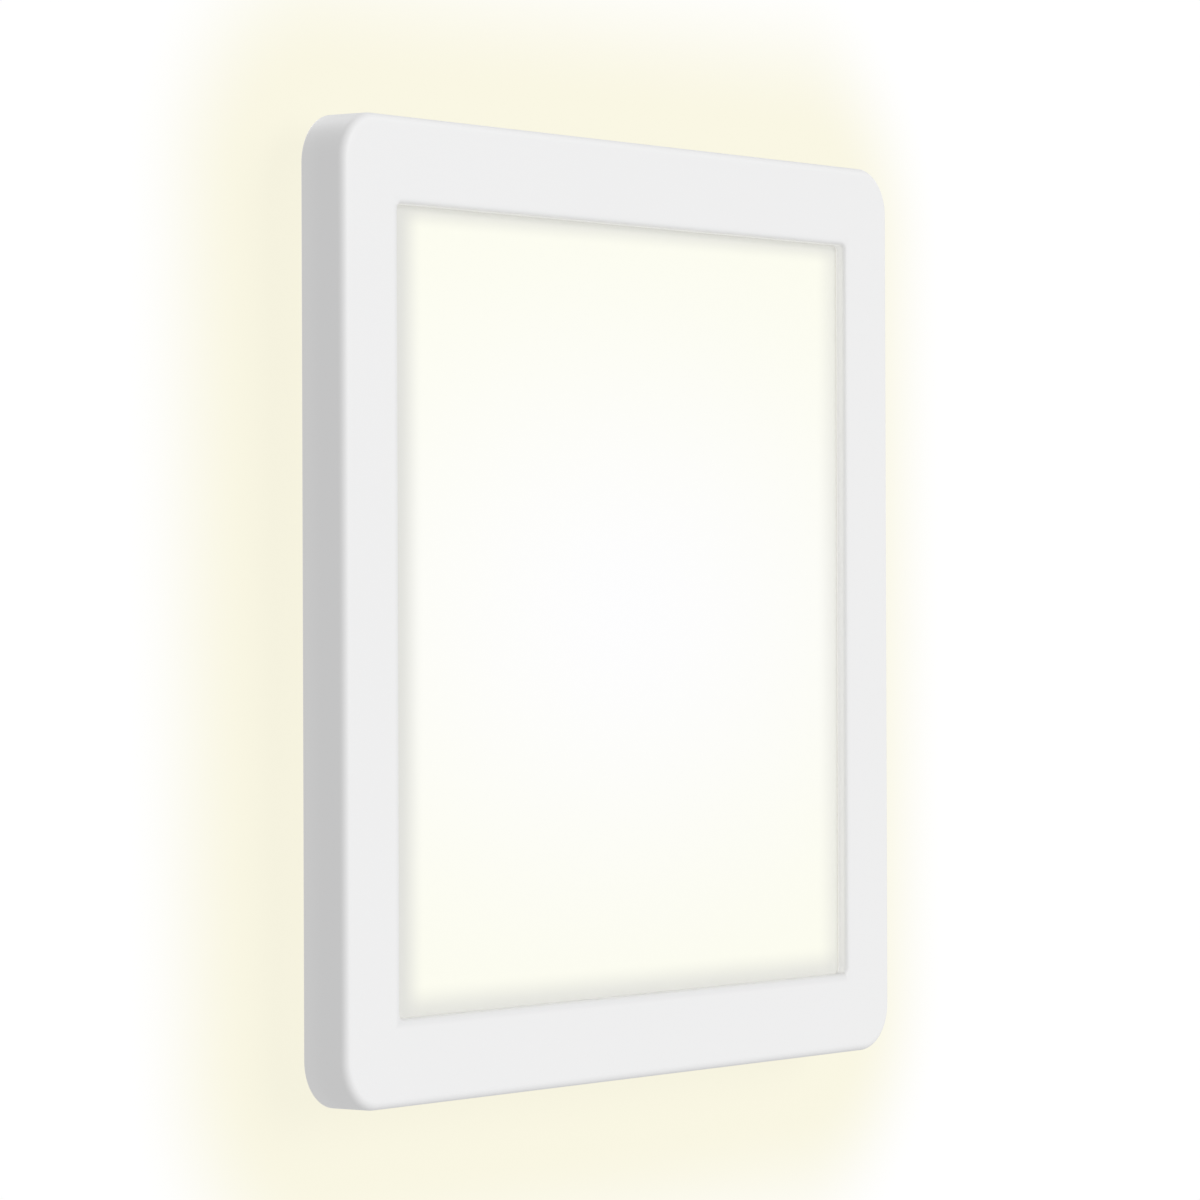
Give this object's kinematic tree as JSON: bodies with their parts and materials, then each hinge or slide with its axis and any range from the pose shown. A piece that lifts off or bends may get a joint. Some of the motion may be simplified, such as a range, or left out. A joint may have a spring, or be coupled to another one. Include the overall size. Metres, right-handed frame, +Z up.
{
  "type": "led panel light",
  "caption": "Square slim surface-mounted LED panel light with a recessed opal window, a halo backlight and a twist-lock wall plate.",
  "frame": {"origin": "on the wall surface, where the panel's centre line meets it", "axes": "-Y out of the wall towards the room and +Y into the wall, +Z up, +X to the right as seen from the room"},
  "size_m": [0.293, 0.028, 0.293],
  "materials": {
    "white_frame": "satin moulded white",
    "white_cover": "fine matt moulded white",
    "opal_window": "satin opal, lit from its edge",
    "opal_ring": "satin opal, lit from inside",
    "clear_acrylic": "polished clear acrylic",
    "reflector_film": "matt white film",
    "foamed_plastic": "rigid foamed sheet",
    "white_steel": "white powder coat on steel sheet",
    "zinc_steel": "zinc-plated pressed sheet",
    "screw_steel": "zinc-plated screw",
    "white_board": "white solder mask",
    "green_board": "green solder mask",
    "black_plastic": "matt black",
    "grey_plastic": "light grey housing",
    "orange_plastic": "orange lever",
    "brass": "brass",
    "grey_rubber": "grey rubber",
    "brown_pvc": "brown lead insulation",
    "blue_pvc": "blue lead insulation",
    "green_pvc": "green and yellow lead insulation",
    "white_pvc": "white lead insulation",
    "red_pvc": "red lead insulation",
    "dark_pvc": "black lead insulation"
  },
  "bodies": {
    "wall_plate": {"wall_plate": "zinc_steel"},
    "luminaire": {"chassis_pan": "white_steel", "cover_screw_1": "screw_steel", "cover_screw_2": "screw_steel", "cover_screw_3": "screw_steel", "cover_screw_4": "screw_steel", "cover_screw_5": "screw_steel", "cover_screw_6": "screw_steel", "driver_board": "green_board", "driver_lid": "black_plastic", "driver_tray": "black_plastic", "earth_screw": "brass", "earth_tag": "brass", "frame_screw_1": "screw_steel", "frame_screw_2": "screw_steel", "frame_screw_3": "screw_steel", "frame_screw_4": "screw_steel", "frame_screw_5": "screw_steel", "frame_screw_6": "screw_steel", "frame_screw_7": "screw_steel", "frame_screw_8": "screw_steel", "front_frame": "white_frame", "halo_diffuser": "opal_ring", "halo_jumper_bottom_left": "white_pvc", "halo_jumper_top_left": "white_pvc", "halo_jumper_top_right": "white_pvc", "halo_led_strip_bottom": "white_board", "halo_led_strip_left": "white_board", "halo_led_strip_right": "white_board", "halo_led_strip_top": "white_board", "lead_earth": "green_pvc", "lead_halo_minus": "dark_pvc", "lead_halo_plus": "red_pvc", "lead_live": "brown_pvc", "lead_main_strips": "white_pvc", "lead_neutral": "blue_pvc", "light_guide": "clear_acrylic", "main_jumper_bottom_left": "white_pvc", "main_jumper_top_left": "white_pvc", "main_jumper_top_right": "white_pvc", "main_led_strip_bottom": "white_board", "main_led_strip_left": "white_board", "main_led_strip_right": "white_board", "main_led_strip_top": "white_board", "rear_cover": "white_cover", "reflector_sheet": "reflector_film", "spacer_sheet": "foamed_plastic", "terminal_block": "grey_plastic", "terminal_contact_earth": "brass", "terminal_contact_live": "brass", "terminal_contact_neutral": "brass", "wall_pad_bottom": "grey_rubber", "wall_pad_left": "grey_rubber", "wall_pad_right": "grey_rubber", "wall_pad_top": "grey_rubber", "window_diffuser": "opal_window"},
    "clamp_lever_live": {"clamp_lever_live": "orange_plastic"},
    "clamp_lever_neutral": {"clamp_lever_neutral": "orange_plastic"},
    "clamp_lever_earth": {"clamp_lever_earth": "orange_plastic"}
  },
  "joints": [
    {"name": "bayonet_twist", "type": "hinge", "parent": "wall_plate", "child": "luminaire", "pos_m": [0, 0, 0], "axis": [0, -1, 0], "range_deg": [0, 20]},
    {"name": "lever_live", "type": "hinge", "parent": "luminaire", "child": "clamp_lever_live", "pos_m": [-0.008, -0.007, 0.0136], "axis": [1, 0, 0], "range_deg": [0, 80]},
    {"name": "lever_neutral", "type": "hinge", "parent": "luminaire", "child": "clamp_lever_neutral", "pos_m": [0, -0.007, 0.0136], "axis": [1, 0, 0], "range_deg": [0, 80]},
    {"name": "lever_earth", "type": "hinge", "parent": "luminaire", "child": "clamp_lever_earth", "pos_m": [0.008, -0.007, 0.0136], "axis": [1, 0, 0], "range_deg": [0, 80]}
  ]
}
